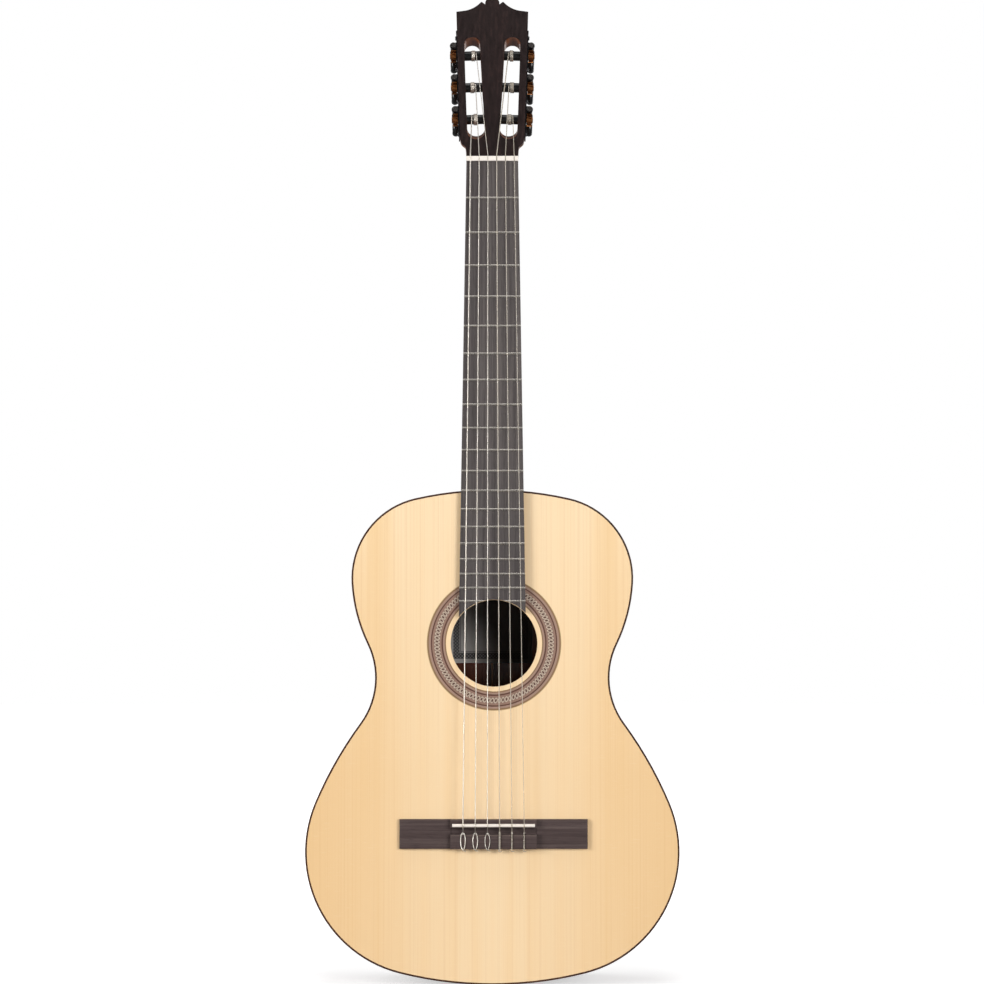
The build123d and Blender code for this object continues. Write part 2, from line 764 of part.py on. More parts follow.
def make_winding(i):
    """The turns of a string on its roller, as a coil in the roller's own frame."""
    side, row, x = string_ends[i]
    s = roller_rows[row]
    radius = string_radii[i]
    pitch = 2 * radius + 0.12
    turns = winding_turns[i]
    coil_r = roller_r + radius + 0.02
    helix = Helix(pitch=pitch, height=turns * pitch, radius=coil_r)
    start = Plane(origin=helix @ 0, z_dir=helix % 0)
    coil = sweep(start * Circle(radius), path=helix, is_frenet=True)
    span = turns * pitch
    near = head_side_x(s) - x
    first = near + 2 * radius + 0.5 if wind_inwards[i] else near - 2 * radius - 0.5 - span
    coil = Rot(0, -90, 0) * coil
    coil = Pos(-first, 0, 0) * coil
    return facing(coil, side)


# ---- nodes --------------------------------------------------------------------------------------


def main():
    node("soundboard", make_soundboard())
    node("rosette", make_rosette())
    node("back_plate", make_back())
    node("side_bass", make_side(-1))
    node("side_treble", make_side(1))
    node("bindings", *make_bindings())
    node("linings", *make_linings())
    node("neck_block", neck_block_solid)
    node("tail_block", tail_block_solid)
    node("soundboard_braces", *make_soundboard_braces())
    node("soundhole_patch", make_soundhole_patch())
    node("back_braces", *make_back_braces())
    node("label", make_label())
    node("neck", make_neck())
    node("heel_cap", make_heel_cap())
    node("head_veneer", make_veneer())
    frets, board = make_frets_and_fingerboard()
    node("frets", *frets)
    node("fingerboard", board)
    node("nut", make_nut())
    node("bridge", make_bridge())
    node("saddle", make_saddle())

    screws = []
    for side, name in ((-1, "bass"), (1, "treble")):
        middle = tuner_plane(side, roller_rows[1]).location
        node(f"tuner_plate_{name}", middle * make_plate(side))
        for z in plate_screw_rows:
            screws.append(middle * Pos(0, 0, z) * facing(make_plate_screw(), side))
    node("plate_screws", *screws)

    gear = make_gear()
    for i, name in enumerate(string_names):
        side, row, _ = string_ends[i]
        place = tuner_plane(side, roller_rows[row]).location
        node(f"roller_{name}", place * make_roller(side, roller_rows[row]))
        node(f"gear_{name}", place * Pos(side * gear_offset, 0, 0) * gear, place * make_gear_screw(side))
        node(f"worm_shaft_{name}", place * make_worm_shaft(side))
        node(f"button_{name}", place * make_button(side))
        node(f"winding_{name}", place * make_winding(i))
        node(f"string_{name}", make_string(i))


if __name__ == "__main__":
    main()
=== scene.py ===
import math

import bmesh
import bpy
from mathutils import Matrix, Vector


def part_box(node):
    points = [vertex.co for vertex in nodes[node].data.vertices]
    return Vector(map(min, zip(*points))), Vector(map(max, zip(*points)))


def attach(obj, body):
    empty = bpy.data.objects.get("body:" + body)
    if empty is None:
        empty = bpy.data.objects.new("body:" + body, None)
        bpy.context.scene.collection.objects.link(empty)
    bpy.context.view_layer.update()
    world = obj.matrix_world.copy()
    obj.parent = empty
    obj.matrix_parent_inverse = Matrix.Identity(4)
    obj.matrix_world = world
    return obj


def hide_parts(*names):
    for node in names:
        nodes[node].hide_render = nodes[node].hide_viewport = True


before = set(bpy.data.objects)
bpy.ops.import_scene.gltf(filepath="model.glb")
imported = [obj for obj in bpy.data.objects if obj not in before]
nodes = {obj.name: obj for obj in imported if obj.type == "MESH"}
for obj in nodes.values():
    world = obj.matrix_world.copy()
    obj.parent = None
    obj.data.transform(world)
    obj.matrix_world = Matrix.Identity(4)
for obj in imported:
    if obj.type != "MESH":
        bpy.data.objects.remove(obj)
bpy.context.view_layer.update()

ROOT = "guitar"
MM = 0.001

# ---- sizes shared with the CAD, in millimetres ----------------------------------------------------

STRINGS = ["e6", "a5", "d4", "g3", "b2", "e1"]
RADII = dict(e6=0.55, a5=0.43, d4=0.37, g3=0.51, b2=0.41, e1=0.36)
SADDLE_X = dict(e6=-28.55, a5=-16.65, d4=-4.75, g3=7.15, b2=19.05, e1=30.95)
NUT_X = dict(e6=-21.5, a5=-12.9, d4=-4.3, g3=4.3, b2=12.9, e1=21.5)
ROLLER_END = dict(
    e6=(-20.38, 14.13, 48.68),
    a5=(-16.65, 23.0, 82.03),
    d4=(-16.3, 32.01, 115.64),
    g3=(16.3, 31.88, 115.68),
    b2=(16.65, 23.02, 82.02),
    e1=(20.38, 14.3, 48.6),
)
NUT_FLOOR = 7.6
SADDLE_TOP = 12.8
saddle_low, saddle_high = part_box("saddle")
SADDLE_Z = (saddle_low.z + saddle_high.z) / 2 / MM
TIE_FRONT = SADDLE_Z - 8.9
TIE_BACK = SADDLE_Z - 23.0
HOLE = (1.7, -474.3)
LABEL_MIDDLE = (-1.6, -459.0)
LABEL_SIZE = (84.0, 72.0)
WIRE_PITCH = 0.26
DOME_RISE = 3.0
DOME_CELL = 8.0
DOME_END = 110.0
FLOOR_Z = -0.8068

# ---- camera, light and floor ----------------------------------------------------------------------

scene = bpy.context.scene
scene.view_settings.view_transform = "Standard"


def aim(obj, target):
    direction = Vector(target) - obj.location
    obj.rotation_euler = direction.to_track_quat("-Z", "Y").to_euler()


camera = bpy.data.objects.new("camera", bpy.data.cameras.new("camera"))
scene.collection.objects.link(camera)
camera.data.lens = 99.2
camera.data.sensor_width = 36.0
camera.location = (-0.0003, -2.658, -0.4527)
aim(camera, (-0.0003, -0.007, -0.3264))
scene.camera = camera


def area_light(name, place, target, size, power):
    data = bpy.data.lights.new(name, "AREA")
    data.shape = "DISK"
    data.size = size
    data.energy = power
    lamp = bpy.data.objects.new(name, data)
    scene.collection.objects.link(lamp)
    lamp.location = place
    aim(lamp, target)


MIDDLE = (0.0, 0.0, -0.4)
area_light("key_left", (-2.5, -1.9, 0.0), MIDDLE, 1.5, 64.0)
area_light("key_right", (1.75, -2.5, 0.0), MIDDLE, 1.4, 54.0)
area_light("top", (0.0, -0.4, 2.2), MIDDLE, 1.6, 20.0)
area_light("rear_left", (-1.8, 2.2, 0.6), MIDDLE, 1.6, 26.0)
area_light("rear_right", (1.8, 2.2, 0.2), MIDDLE, 1.6, 20.0)

world = bpy.data.worlds.new("studio")
world.use_nodes = True
scene.world = world
tree = world.node_tree
tree.nodes.clear()
seen = tree.nodes.new("ShaderNodeBackground")
seen.inputs["Color"].default_value = (1, 1, 1, 1)
fill = tree.nodes.new("ShaderNodeBackground")
fill.inputs["Color"].default_value = (0.15, 0.15, 0.15, 1)
path = tree.nodes.new("ShaderNodeLightPath")
choose = tree.nodes.new("ShaderNodeMixShader")
out = tree.nodes.new("ShaderNodeOutputWorld")
tree.links.new(path.outputs["Is Camera Ray"], choose.inputs[0])
tree.links.new(fill.outputs[0], choose.inputs[1])
tree.links.new(seen.outputs[0], choose.inputs[2])
tree.links.new(choose.outputs[0], out.inputs["Surface"])

# ---- procedural materials -------------------------------------------------------------------------


class Look:
    """A material built from nodes, in the object's own coordinates, which are metres."""

    def __init__(self, name, **shader):
        self.material = bpy.data.materials.new(name)
        self.material.use_nodes = True
        self.tree = self.material.node_tree
        self.shader = self.tree.nodes["Principled BSDF"]
        for key, value in shader.items():
            self.shader.inputs[key.replace("_", " ")].default_value = value
        self.place = self.tree.nodes.new("ShaderNodeTexCoord").outputs["Object"]

    def put(self, socket, value):
        if isinstance(value, bpy.types.NodeSocket):
            self.tree.links.new(value, socket)
        else:
            socket.default_value = value

    def math(self, kind, a, b=0.0, c=0.0):
        n = self.tree.nodes.new("ShaderNodeMath")
        n.operation = kind
        for socket, value in zip(n.inputs, (a, b, c)):
            self.put(socket, value)
        return n.outputs[0]

    def axes(self):
        n = self.tree.nodes.new("ShaderNodeSeparateXYZ")
        self.put(n.inputs[0], self.place)
        return n.outputs[0], n.outputs[1], n.outputs[2]

    def vector(self, x, y, z):
        n = self.tree.nodes.new("ShaderNodeCombineXYZ")
        for socket, value in zip(n.inputs, (x, y, z)):
            self.put(socket, value)
        return n.outputs[0]

    def stretched(self, sx, sy, sz, mirrored=False):
        """The place, counted in cells of 1/sx, 1/sy and 1/sz metres. mirrored gives both sides the same."""
        x, y, z = self.axes()
        if mirrored:
            x = self.math("ABSOLUTE", x)
        scaled = [self.math("MULTIPLY", axis, count) for axis, count in ((x, sx), (y, sy), (z, sz))]
        return self.vector(*scaled)

    def noise(self, where, detail=3.0, rough=0.5, twist=0.0, scale=1.0):
        n = self.tree.nodes.new("ShaderNodeTexNoise")
        self.put(n.inputs["Vector"], where)
        n.inputs["Scale"].default_value = scale
        n.inputs["Detail"].default_value = detail
        n.inputs["Roughness"].default_value = rough
        n.inputs["Distortion"].default_value = twist
        return n.outputs["Fac"]

    def fit(self, value, low, high, to_low=0.0, to_high=1.0):
        n = self.tree.nodes.new("ShaderNodeMapRange")
        self.put(n.inputs["Value"], value)
        for key, number in (("From Min", low), ("From Max", high), ("To Min", to_low), ("To Max", to_high)):
            n.inputs[key].default_value = number
        return n.outputs["Result"]

    def mix(self, share, a, b, blend="MIX"):
        n = self.tree.nodes.new("ShaderNodeMix")
        n.data_type = "RGBA"
        n.blend_type = blend
        self.put(n.inputs[0], share)
        for socket, value in ((n.inputs[6], a), (n.inputs[7], b)):
            if isinstance(value, tuple):
                value = (*value[:3], 1.0)
            self.put(socket, value)
        return n.outputs[2]

    def ramp(self, value, stops, sharp=False):
        n = self.tree.nodes.new("ShaderNodeValToRGB")
        if sharp:
            n.color_ramp.interpolation = "CONSTANT"
        places = n.color_ramp.elements
        while len(places) < len(stops):
            places.new(1.0)
        for element, (at, colour) in zip(places, stops):
            element.position = at
            element.color = (*colour, 1.0)
        self.put(n.inputs[0], value)
        return n.outputs[0]

    def colour(self, value):
        self.put(self.shader.inputs["Base Color"], value)

    def rough(self, value, low, high):
        self.put(self.shader.inputs["Roughness"], self.fit(value, 0.25, 0.75, low, high))

    def bump(self, height, strength, depth=0.0002):
        n = self.tree.nodes.new("ShaderNodeBump")
        n.inputs["Strength"].default_value = strength
        n.inputs["Distance"].default_value = depth
        self.put(n.inputs["Height"], height)
        self.put(self.shader.inputs["Normal"], n.outputs[0])


def srgb(r, g, b):
    """A colour given as it looks on screen, 0 to 255, as linear light."""
    return tuple(((c / 255 + 0.055) / 1.055) ** 2.4 if c > 10 else c / 255 / 12.92 for c in (r, g, b))


def spruce_look():
    look = Look("spruce", Roughness=0.32, Coat_Weight=0.25, Coat_Roughness=0.12)
    x, _, z = look.axes()
    wide = look.noise(look.stretched(48, 10, 1.1, True), 2.0, 0.5)
    rings = look.noise(look.stretched(620, 40, 1.6, True), 3.0, 0.55, 0.15)
    fine = look.noise(look.stretched(2100, 200, 14, True), 2.0, 0.5)
    silk = look.noise(look.stretched(90, 90, 620, True), 2.0, 0.5)
    stops = [(0.30, srgb(252, 226, 187)), (0.55, srgb(251, 221, 178)), (0.75, srgb(246, 211, 161))]
    base = look.ramp(wide, stops)
    out_x = look.fit(look.math("ABSOLUTE", x), 0.02, 0.185, 0.12, 0.88)
    low_z = look.fit(z, -0.35, -0.60, 0.0, 1.0)
    edge = look.math("MULTIPLY", out_x, low_z)
    base = look.mix(edge, base, srgb(237, 196, 140))
    base = look.mix(look.fit(rings, 0.50, 0.78, 0.0, 0.30), base, srgb(222, 172, 112))
    base = look.mix(look.fit(fine, 0.55, 0.80, 0.0, 0.16), base, srgb(232, 188, 132))
    base = look.mix(look.fit(silk, 0.58, 0.80, 0.0, 0.12), base, srgb(255, 236, 205))
    look.colour(base)
    look.rough(rings, 0.28, 0.38)
    look.bump(rings, 0.05, 0.00005)
    return look.material


def dark_wood_look(name, stops, pore, grain=(420, 420, 7), shine=0.45, pores=0.5, level=0.35):
    look = Look(name, Roughness=shine)
    look.shader.inputs["Specular IOR Level"].default_value = level
    gx, gy, gz = grain
    streaks = look.noise(look.stretched(gx, gy, gz), 4.0, 0.6, 0.2)
    wide = look.noise(look.stretched(gx / 9, gy / 9, gz / 4), 2.0, 0.5)
    both = look.math("ADD", look.math("MULTIPLY", streaks, 0.6), look.math("MULTIPLY", wide, 0.4))
    base = look.ramp(both, stops)
    speck = look.noise(look.stretched(gx * 6, gy * 6, gz * 9), 1.0, 0.5)
    holes = look.fit(speck, 0.60, 0.70, 0.0, pores)
    look.colour(look.mix(holes, base, pore))
    look.rough(streaks, shine - 0.06, shine + 0.10)
    look.bump(look.math("SUBTRACT", streaks, holes), 0.22, 0.0001)
    return look.material


def rim_wood_look():
    """Grain that follows the sides round: bands across the side's width, long and slow along it."""
    look = Look("rim_wood", Roughness=0.25, Coat_Weight=0.4, Coat_Roughness=0.08)
    bands = look.noise(look.stretched(9, 260, 9), 4.0, 0.6, 0.5)
    wide = look.noise(look.stretched(3, 34, 3), 2.0, 0.5)
    both = look.math("ADD", look.math("MULTIPLY", bands, 0.6), look.math("MULTIPLY", wide, 0.4))
    base = look.ramp(both, [(0.32, srgb(66, 30, 20)), (0.50, srgb(100, 50, 31)), (0.68, srgb(132, 74, 46))])
    speck = look.noise(look.stretched(120, 2600, 120), 1.0, 0.5)
    holes = look.fit(speck, 0.60, 0.72, 0.0, 0.55)
    look.colour(look.mix(holes, base, srgb(34, 14, 10)))
    look.rough(bands, 0.20, 0.32)
    look.bump(bands, 0.06, 0.00005)
    return look.material


def back_wood_look():
    look = Look("back_wood", Roughness=0.25, Coat_Weight=0.4, Coat_Roughness=0.08)
    bands = look.noise(look.stretched(230, 20, 3.5, True), 4.0, 0.6, 0.6)
    wide = look.noise(look.stretched(26, 10, 1.2, True), 2.0, 0.5)
    both = look.math("ADD", look.math("MULTIPLY", bands, 0.55), look.math("MULTIPLY", wide, 0.45))
    base = look.ramp(both, [(0.32, srgb(70, 32, 20)), (0.50, srgb(106, 54, 33)), (0.68, srgb(138, 80, 50))])
    speck = look.noise(look.stretched(2400, 400, 60, True), 1.0, 0.5)
    holes = look.fit(speck, 0.60, 0.72, 0.0, 0.55)
    base = look.mix(holes, base, srgb(36, 15, 10))
    x, _, _ = look.axes()
    middle = look.math("ABSOLUTE", x)
    strip = look.math("LESS_THAN", middle, 0.0022)
    line = look.math("MULTIPLY", strip, look.math("GREATER_THAN", middle, 0.0012))
    base = look.mix(strip, base, srgb(120, 82, 52))
    base = look.mix(line, base, srgb(30, 14, 9))
    look.colour(base)
    look.rough(bands, 0.20, 0.32)
    look.bump(bands, 0.06, 0.00005)
    return look.material


def plain_wood_look(name, light, dark, grain=(500, 500, 9), shine=0.6):
    look = Look(name, Roughness=shine)
    rings = look.noise(look.stretched(*grain), 4.0, 0.55, 0.3)
    base = look.ramp(rings, [(0.35, dark), (0.65, light)])
    fibre = look.noise(look.stretched(grain[0] * 5, grain[1] * 5, grain[2] * 5), 1.0, 0.5)
    look.colour(look.mix(look.fit(fibre, 0.55, 0.8, 0.0, 0.25), base, dark))
    look.rough(rings, shine - 0.08, shine + 0.08)
    look.bump(fibre, 0.1, 0.0001)
    return look.material


def rosette_look():
    """Rings of coloured wood, and between them a chain of small links."""
    look = Look("rosette", Roughness=0.34, Coat_Weight=0.25, Coat_Roughness=0.12)
    x, _, z = look.axes()
    dx = look.math("MULTIPLY", look.math("SUBTRACT", x, HOLE[0] * MM), 1000.0)
    dz = look.math("MULTIPLY", look.math("SUBTRACT", z, HOLE[1] * MM), 1000.0)
    r = look.math("SQRT", look.math("ADD", look.math("MULTIPLY", dx, dx), look.math("MULTIPLY", dz, dz)))
    turn = look.math("ARCTAN2", dz, dx)
    r_in, r_out = 47.0, 66.0

    def at(mm):
        return (mm - r_in) / (r_out - r_in)

    mauve, light, dark = srgb(150, 119, 103), srgb(167, 137, 120), srgb(92, 58, 48)
    olive = srgb(142, 112, 80)
    bands = [
        (0.0, olive), (at(48.2), light), (at(49.9), dark), (at(51.4), mauve), (at(52.9), srgb(138, 112, 100)),
        (at(58.7), mauve), (at(60.6), dark), (at(61.9), light), (at(63.8), olive),
        (at(65.3), srgb(206, 174, 128)),
    ]
    base = look.ramp(look.fit(r, r_in, r_out), bands, sharp=True)
    links, r_mid = 100, 55.9
    pitch = 2 * math.pi * r_mid / links
    v = look.math("SUBTRACT", r, r_mid)
    along = look.math("FRACT", look.math("MULTIPLY_ADD", turn, links / (2 * math.pi), 50.0))
    u = look.math("MULTIPLY", look.math("SUBTRACT", along, 0.5), pitch)
    u = look.math("ADD", u, look.math("MULTIPLY", v, 0.22))
    uu = look.math("POWER", look.math("ABSOLUTE", look.math("DIVIDE", u, 1.62)), 2.0)
    vv = look.math("POWER", look.math("ABSOLUTE", look.math("DIVIDE", v, 2.75)), 2.0)
    q = look.math("SQRT", look.math("ADD", uu, vv))
    link_stops = [(0.0, srgb(90, 62, 54)), (0.46, srgb(128, 100, 88)), (0.60, srgb(200, 184, 164))]
    link = look.ramp(q, link_stops, sharp=True)
    chain = look.mix(look.math("LESS_THAN", q, 1.0), base, link)
    grain = look.noise(look.stretched(1500, 1500, 1500), 2.0, 0.5)
    look.colour(look.mix(look.fit(grain, 0.4, 0.8, 0.0, 0.16), chain, srgb(120, 88, 74)))
    look.rough(grain, 0.30, 0.40)
    return look.material


def label_look():
    """A paper label with a blank middle and a border of small repeated ornaments, with painted shade towards
    its right and top.
    """
    look = Look("label_paper", Roughness=0.8)
    x, _, z = look.axes()
    across = look.math("MULTIPLY", look.math("SUBTRACT", x, LABEL_MIDDLE[0] * MM), 1000.0)
    up = look.math("MULTIPLY", look.math("SUBTRACT", z, LABEL_MIDDLE[1] * MM), 1000.0)
    side = look.math("SUBTRACT", LABEL_SIZE[0] / 2, look.math("ABSOLUTE", across))
    end = look.math("SUBTRACT", LABEL_SIZE[1] / 2, look.math("ABSOLUTE", up))
    edge = look.math("MINIMUM", side, end)
    paper = look.mix(look.noise(look.stretched(60, 60, 60), 4.0, 0.6), srgb(196, 192, 188), srgb(176, 172, 168))
    band = look.math("MULTIPLY", look.math("GREATER_THAN", edge, 4.2), look.math("LESS_THAN", edge, 10.4))
    wave_a = look.math("SINE", look.math("MULTIPLY", across, 1.9))
    wave_b = look.math("SINE", look.math("MULTIPLY", up, 1.9))
    petal = look.math("GREATER_THAN", look.math("MULTIPLY", wave_a, wave_b), 0.05)
    print_ink = look.mix(petal, srgb(58, 56, 58), srgb(140, 138, 136))
    base = look.mix(band, paper, print_ink)
    rule = look.math("MULTIPLY", look.math("GREATER_THAN", edge, 11.2), look.math("LESS_THAN", edge, 11.7))
    base = look.mix(rule, base, srgb(60, 58, 60))
    # painted shade: the paper darkens from its lit lower left towards the right and top, standing in for the
    # soundhole's shade
    painted_shade = look.fit(look.math("MULTIPLY_ADD", up, 0.35, across), -36.0, 4.0, 0.0, 0.92)
    look.colour(look.mix(painted_shade, base, srgb(46, 40, 38)))
    look.bump(look.noise(look.stretched(2500, 2500, 2500), 2.0), 0.1, 0.00005)
    return look.material


def metal_look(name, colour, shine, wear, grain=(900, 900, 900)):
    look = Look(name, Metallic=1.0, Roughness=shine)
    patches = look.noise(look.stretched(*grain), 4.0, 0.6)
    look.colour(look.mix(look.fit(patches, 0.45, 0.8, 0.0, 0.5), colour, wear))
    look.rough(patches, shine - 0.05, shine + 0.10)
    look.bump(look.noise(look.stretched(grain[0] * 4, grain[1] * 4, grain[2] * 4), 2.0), 0.05, 0.00003)
    return look.material


def plastic_look(name, colour, shine, speckle, level=0.4, through=0.0):
    look = Look(name, Roughness=shine)
    look.shader.inputs["Specular IOR Level"].default_value = level
    look.shader.inputs["Transmission Weight"].default_value = through
    cloud = look.noise(look.stretched(180, 180, 180), 4.0, 0.6)
    look.colour(look.mix(look.fit(cloud, 0.4, 0.75, 0.0, 0.6), colour, speckle))
    look.rough(cloud, shine - 0.04, shine + 0.08)
    look.bump(look.noise(look.stretched(1400, 1400, 1400), 3.0), 0.06, 0.00003)
    return look.material


def wound_look():
    """Silvered wire wound closely round the string's core."""
    look = Look("wound_string", Metallic=0.75, Roughness=0.30)
    _, _, z = look.axes()
    turns = look.math("SINE", look.math("MULTIPLY", z, 2 * math.pi / (WIRE_PITCH * MM)))
    # painted shade: the grooves between the wire's turns are darkened
    groove_shade = look.fit(turns, -1.0, -0.2, 0.5, 0.0)
    tone = look.noise(look.stretched(300, 300, 120), 3.0, 0.6)
    base = look.mix(look.fit(tone, 0.35, 0.75, 0.0, 1.0), srgb(246, 240, 230), srgb(220, 210, 196))
    look.colour(look.mix(groove_shade, base, srgb(120, 112, 104)))
    look.bump(turns, 0.35, 0.00004)
    look.rough(tone, 0.26, 0.38)
    return look.material


def bridge_look(pore):
    look = Look("bridge_wood", Roughness=0.5)
    look.shader.inputs["Specular IOR Level"].default_value = 0.3
    streaks = look.noise(look.stretched(9, 380, 520), 4.0, 0.62, 0.3)
    wide = look.noise(look.stretched(5, 60, 90), 2.0, 0.5)
    both = look.math("ADD", look.math("MULTIPLY", streaks, 0.6), look.math("MULTIPLY", wide, 0.4))
    base = look.ramp(both, [(0.34, srgb(58, 44, 42)), (0.52, srgb(78, 64, 62)), (0.70, srgb(98, 84, 80))])
    holes = look.fit(look.noise(look.stretched(90, 2300, 2600), 1.0), 0.60, 0.70, 0.0, 0.5)
    base = look.mix(holes, base, pore)
    _, y, z = look.axes()
    # painted highlight: a lighter line along the tie block's front edge, on the bridge's top
    high = look.math("LESS_THAN", y, -0.0085)
    edge_highlight = look.math("COMPARE", z, (TIE_FRONT - 0.5) * MM, 0.0008)
    look.colour(look.mix(look.math("MULTIPLY", high, edge_highlight), base, srgb(94, 80, 75)))
    look.rough(streaks, 0.42, 0.58)
    look.bump(look.math("SUBTRACT", streaks, holes), 0.25, 0.0001)
    return look.material


SPRUCE = spruce_look()
ROSETTE = rosette_look()
RIM_WOOD = rim_wood_look()
BACK_WOOD = back_wood_look()
BINDING = dark_wood_look(
    "binding_wood",
    [(0.35, srgb(48, 26, 18)), (0.52, srgb(66, 38, 26)), (0.7, srgb(84, 52, 36))],
    srgb(28, 14, 10), (9, 300, 9), 0.3,
)
FINGERBOARD = dark_wood_look(
    "fingerboard_wood",
    [(0.32, srgb(66, 60, 60)), (0.50, srgb(84, 78, 77)), (0.70, srgb(108, 101, 98))],
    srgb(48, 42, 42), (520, 300, 6), 0.55, 0.55, 0.25,
)
HEAD_WOOD = dark_wood_look(
    "head_wood",
    [(0.34, srgb(22, 12, 11)), (0.54, srgb(34, 21, 20)), (0.74, srgb(54, 35, 31))],
    srgb(16, 10, 8), (420, 300, 6), 0.36, 0.5, 0.3,
)
CAP_WOOD = dark_wood_look(
    "cap_wood",
    [(0.34, srgb(30, 18, 14)), (0.54, srgb(46, 30, 24)), (0.74, srgb(70, 48, 36))],
    srgb(16, 10, 8), (60, 300, 400), 0.36, 0.5, 0.3,
)
BRIDGE = bridge_look(srgb(40, 30, 30))
NECK_WOOD = dark_wood_look(
    "neck_wood",
    [(0.34, srgb(104, 56, 32)), (0.52, srgb(134, 78, 46)), (0.72, srgb(160, 100, 62))],
    srgb(70, 34, 20), (360, 360, 8), 0.36, 0.5, 0.4,
)
INNER_WOOD = plain_wood_look("inner_wood", srgb(222, 186, 138), srgb(190, 148, 98))
LABEL = label_look()
FRET = metal_look("fret_metal", srgb(196, 190, 182), 0.26, srgb(160, 154, 148), grain=(1200, 600, 600))
BONE = plastic_look("bone", srgb(243, 235, 226), 0.38, srgb(235, 225, 212), 0.4)
PLATE_METAL = metal_look("black_nickel", srgb(54, 52, 54), 0.24, srgb(84, 80, 80))
SCREW_METAL = metal_look("screw_metal", srgb(78, 76, 78), 0.28, srgb(110, 106, 104))
GEAR_METAL = metal_look("gear_copper", srgb(158, 104, 62), 0.34, srgb(92, 56, 36))
WORM_METAL = metal_look("worm_steel", srgb(98, 94, 92), 0.30, srgb(140, 134, 128))
ROLLER = plastic_look("roller_black", srgb(16, 15, 15), 0.30, srgb(26, 25, 25))
BUTTON = plastic_look("button_black", srgb(14, 13, 13), 0.16, srgb(22, 21, 21), 0.5)
WOUND = wound_look()
NYLON = plastic_look("clear_nylon", srgb(240, 231, 216), 0.22, srgb(226, 214, 196), 0.5, 0.6)

LOOKS = {
    "soundboard": SPRUCE, "rosette": ROSETTE, "side_bass": RIM_WOOD, "side_treble": RIM_WOOD,
    "back_plate": BACK_WOOD, "bindings": BINDING, "linings": INNER_WOOD, "neck_block": INNER_WOOD,
    "tail_block": INNER_WOOD, "soundboard_braces": INNER_WOOD, "soundhole_patch": INNER_WOOD,
    "back_braces": INNER_WOOD, "label": LABEL, "neck": NECK_WOOD, "heel_cap": CAP_WOOD,
    "head_veneer": HEAD_WOOD,
    "fingerboard": FINGERBOARD, "frets": FRET, "nut": BONE, "saddle": BONE, "bridge": BRIDGE,
    "tuner_plate_bass": PLATE_METAL, "tuner_plate_treble": PLATE_METAL, "plate_screws": SCREW_METAL,
}
for name in STRINGS:
    LOOKS[f"roller_{name}"] = ROLLER
    LOOKS[f"gear_{name}"] = GEAR_METAL
    LOOKS[f"worm_shaft_{name}"] = WORM_METAL
    LOOKS[f"button_{name}"] = BUTTON
    LOOKS[f"winding_{name}"] = WOUND if name in ("e6", "a5", "d4") else NYLON
    LOOKS[f"string_{name}"] = LOOKS[f"winding_{name}"]

for name, obj in nodes.items():
    obj.data.materials.clear()
    obj.data.materials.append(LOOKS[name])

# ---- strings and their ties -----------------------------------------------------------------------


def tube(name, points, radius, look, body=ROOT, corners=()):
    """A round cord along points given in millimetres. corners are the points it turns sharply at."""
    curve = bpy.data.curves.new(name, "CURVE")
    curve.dimensions = "3D"
    curve.bevel_depth = radius * MM
    curve.bevel_resolution = 5
    curve.resolution_u = 10
    curve.use_fill_caps = True
    spline = curve.splines.new("BEZIER")
    spline.bezier_points.add(len(points) - 1)
    for i, (point, place) in enumerate(zip(spline.bezier_points, points)):
        point.co = Vector(place) * MM
        kind = "VECTOR" if i in corners else "AUTO"
        point.handle_left_type = kind
        point.handle_right_type = kind
    curve.materials.append(look)
    obj = bpy.data.objects.new(name, curve)
    scene.collection.objects.link(obj)
    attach(obj, body)
    return obj


def run_points(name):
    """The string from its roller over nut and saddle, and through the tie block's hole."""
    r = RADII[name]
    x = SADDLE_X[name]
    return [
        ROLLER_END[name],
        (NUT_X[name], -NUT_FLOOR - r, 5.6),
        (NUT_X[name], -NUT_FLOOR - r, 4.6),
        (x, -SADDLE_TOP - r - 0.02, SADDLE_Z + 0.6),
        (x, -SADDLE_TOP - r + 0.10, SADDLE_Z - 0.7),
        (x, -SADDLE_TOP - r + 0.95, SADDLE_Z - 1.8),
        (x, -5.5, TIE_FRONT + 1.1),
        (x, -5.4, TIE_FRONT - 0.9),
        (x, -5.4, TIE_BACK + 0.8),
        (x, -5.6, TIE_BACK - 0.6),
    ]


RUN_CORNERS = (0, 1, 2, 7, 8)
TOP = 9.2


def bass_tie(name):
    """One open loop over the tie block, tucked under itself at the back edge, with a short tail."""
    r = RADII[name]
    x = SADDLE_X[name]
    over = -TOP - r - 0.08
    wide = 2.25
    return [
        (x + 0.2, -7.4, TIE_BACK - 0.6 - r),
        (x + 0.7, over + 0.5, TIE_BACK - 0.3),
        (x + 1.6, over, TIE_BACK + 2.2),
        (x + wide, over, TIE_BACK + 6.4),
        (x + wide * 0.94, over, TIE_FRONT - 3.2),
        (x + 0.7 + r, over - 0.15, TIE_FRONT + 0.4),
        (x, over + 0.5 - r, TIE_FRONT + 1.6),
        (x - 0.7 - r, over - 0.15, TIE_FRONT + 0.4),
        (x - wide * 0.94, over, TIE_FRONT - 3.2),
        (x - wide, over, TIE_BACK + 6.4),
        (x - 1.6, over, TIE_BACK + 2.2),
        (x - 0.4, over - 0.3, TIE_BACK - 0.4),
        (x + 0.9, over + 1.2, TIE_BACK - 1.2 - r),
        (x + 2.6, -7.4, TIE_BACK - 1.3 - r),
    ]


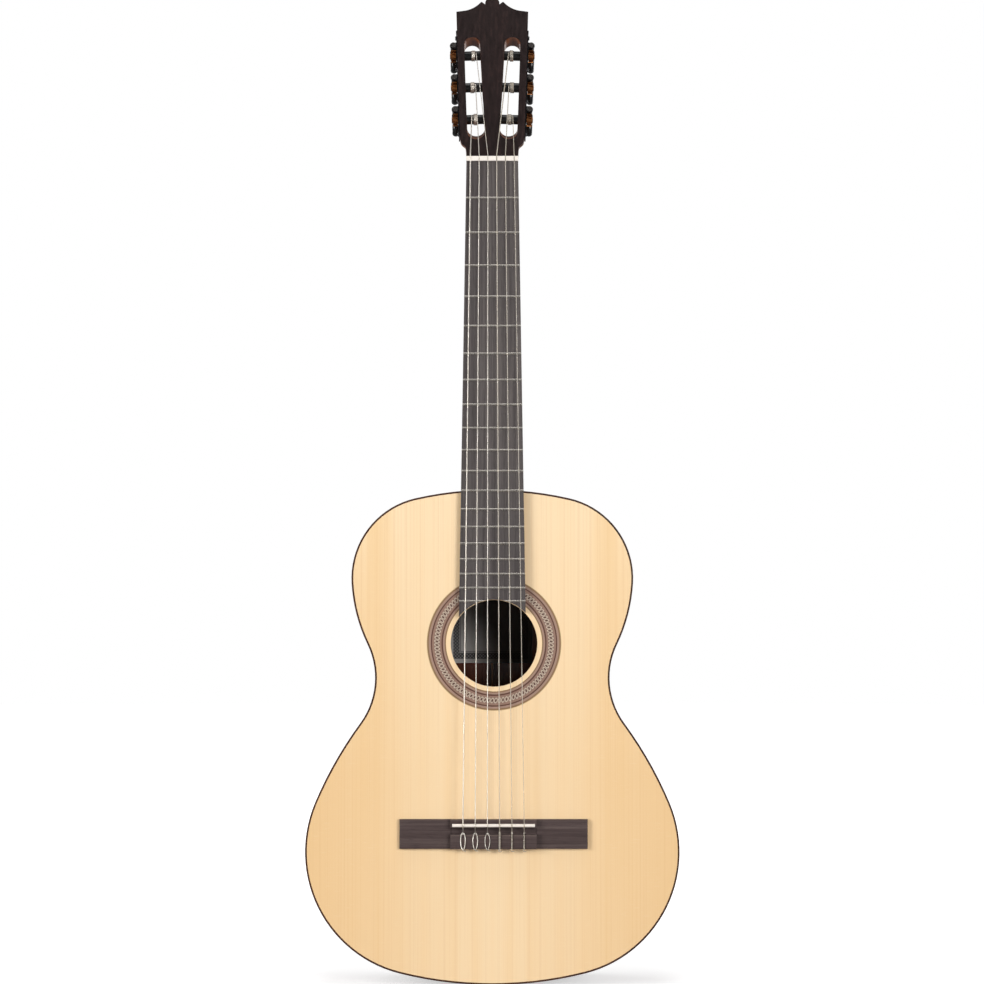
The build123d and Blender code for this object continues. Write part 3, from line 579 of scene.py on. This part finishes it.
def treble_tie(name):
    """Two strands twisted round each other over the tie block, ending in a small curled tail."""
    r = RADII[name]
    x = SADDLE_X[name]
    over = -TOP - r - 0.08
    ahead, behind, turns, steps = TIE_FRONT + 1.3, TIE_BACK - 0.2, 3.5, 28
    twist = 0.85 * r

    def strand(t, lead):
        a = 2 * math.pi * turns * t + lead
        across = x + twist * math.cos(a) * 1.1
        return (across, over - twist * (1 + math.sin(a)), behind + (ahead - behind) * t)

    out = [strand(k / steps, 0.0) for k in range(steps + 1)]
    back = [strand(1 - k / steps, math.pi) for k in range(steps + 1)]
    turn = [(x, over - 0.2, ahead + 1.0)]
    start = [(x + 0.2, -7.4, TIE_BACK - 0.6 - r), (x + 0.4, over + 0.5, TIE_BACK - 0.8 - 0.3 * r)]
    tail = [
        (x - 0.8, over + 0.4, TIE_BACK - 1.4 - r),
        (x + 0.4, -7.2, TIE_BACK - 2.0 - r),
        (x + 2.2, -6.8, TIE_BACK - 1.6 - r),
    ]
    return start + out + turn + back + tail


for name in STRINGS:
    wound = name in ("e6", "a5", "d4")
    look = WOUND if wound else NYLON
    tie = bass_tie(name) if wound else treble_tie(name)
    piece = tube(f"taut_string_{name}", run_points(name) + tie, RADII[name], look, corners=RUN_CORNERS)
    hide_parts(f"string_{name}")

# ---- the back's dome ------------------------------------------------------------------------------


def domed_back():
    """The back with its outer face raised in the middle, and level with the binding all round."""
    plate = nodes["back_plate"]
    low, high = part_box("back_plate")
    bm = bmesh.new()
    bm.from_mesh(plate.data)
    bm.transform(plate.matrix_world)
    for axis in (0, 2):
        normal = Vector((1, 0, 0)) if axis == 0 else Vector((0, 0, 1))
        for k in range(1, int((high[axis] - low[axis]) / (DOME_CELL * MM)) + 1):
            geometry = bm.verts[:] + bm.edges[:] + bm.faces[:]
            place = normal * (low[axis] + k * DOME_CELL * MM)
            bmesh.ops.bisect_plane(bm, geom=geometry, dist=1e-7, plane_co=place, plane_no=normal)
    rim = sorted((v.co.z, abs(v.co.x)) for v in bm.verts if any(abs(f.normal.y) < 0.5 for f in v.link_faces))
    for v in bm.verts:
        if not any(face.normal.y > 0.9 for face in v.link_faces):
            continue
        edge_highlight = min(rim, key=lambda item: (abs(item[0] - v.co.z) > 0.003, -item[1]))
        share = min(1.0, abs(v.co.x) / max(edge_highlight[1], 1e-6))
        ends = min(1.0, min(v.co.z - low.z, high.z - v.co.z) / (DOME_END * MM))
        ends = ends * ends * (3 - 2 * ends)
        v.co.y += DOME_RISE * MM * (1 - share * share) * ends
    mesh = bpy.data.meshes.new("domed_back")
    bm.to_mesh(mesh)
    bm.free()
    for face in mesh.polygons:
        face.use_smooth = abs(face.normal.y) > 0.9
    mesh.materials.append(BACK_WOOD)
    obj = bpy.data.objects.new("domed_back", mesh)
    scene.collection.objects.link(obj)
    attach(obj, ROOT)
    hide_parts("back_plate")


domed_back()

# ---- floor ----------------------------------------------------------------------------------------


def floor():
    mesh = bpy.data.meshes.new("floor")
    bm = bmesh.new()
    bmesh.ops.create_circle(bm, cap_ends=True, radius=9.0, segments=96)
    bm.to_mesh(mesh)
    bm.free()
    obj = bpy.data.objects.new("floor", mesh)
    obj.location = (0, 0, FLOOR_Z)
    scene.collection.objects.link(obj)
    look = Look("floor_white", Roughness=0.9)
    look.shader.inputs["Specular IOR Level"].default_value = 0.1
    cloud = look.noise(look.stretched(3, 3, 3), 2.0)
    first = look.tree.nodes.new("ShaderNodeLightPath").outputs["Is Camera Ray"]
    white = look.mix(cloud, (0.80, 0.80, 0.80), (0.84, 0.84, 0.84))
    look.colour(look.mix(first, (0.35, 0.35, 0.35), white))
    look.shader.inputs["Emission Color"].default_value = (1, 1, 1, 1)
    x, y, _ = look.axes()
    away = look.math("SQRT", look.math("ADD", look.math("MULTIPLY", x, x), look.math("MULTIPLY", y, y)))
    glow = look.fit(away, 0.3, 2.2, 0.55, 1.0)
    look.put(look.shader.inputs["Emission Strength"], look.math("MULTIPLY", glow, first))
    mesh.materials.append(look.material)


floor()
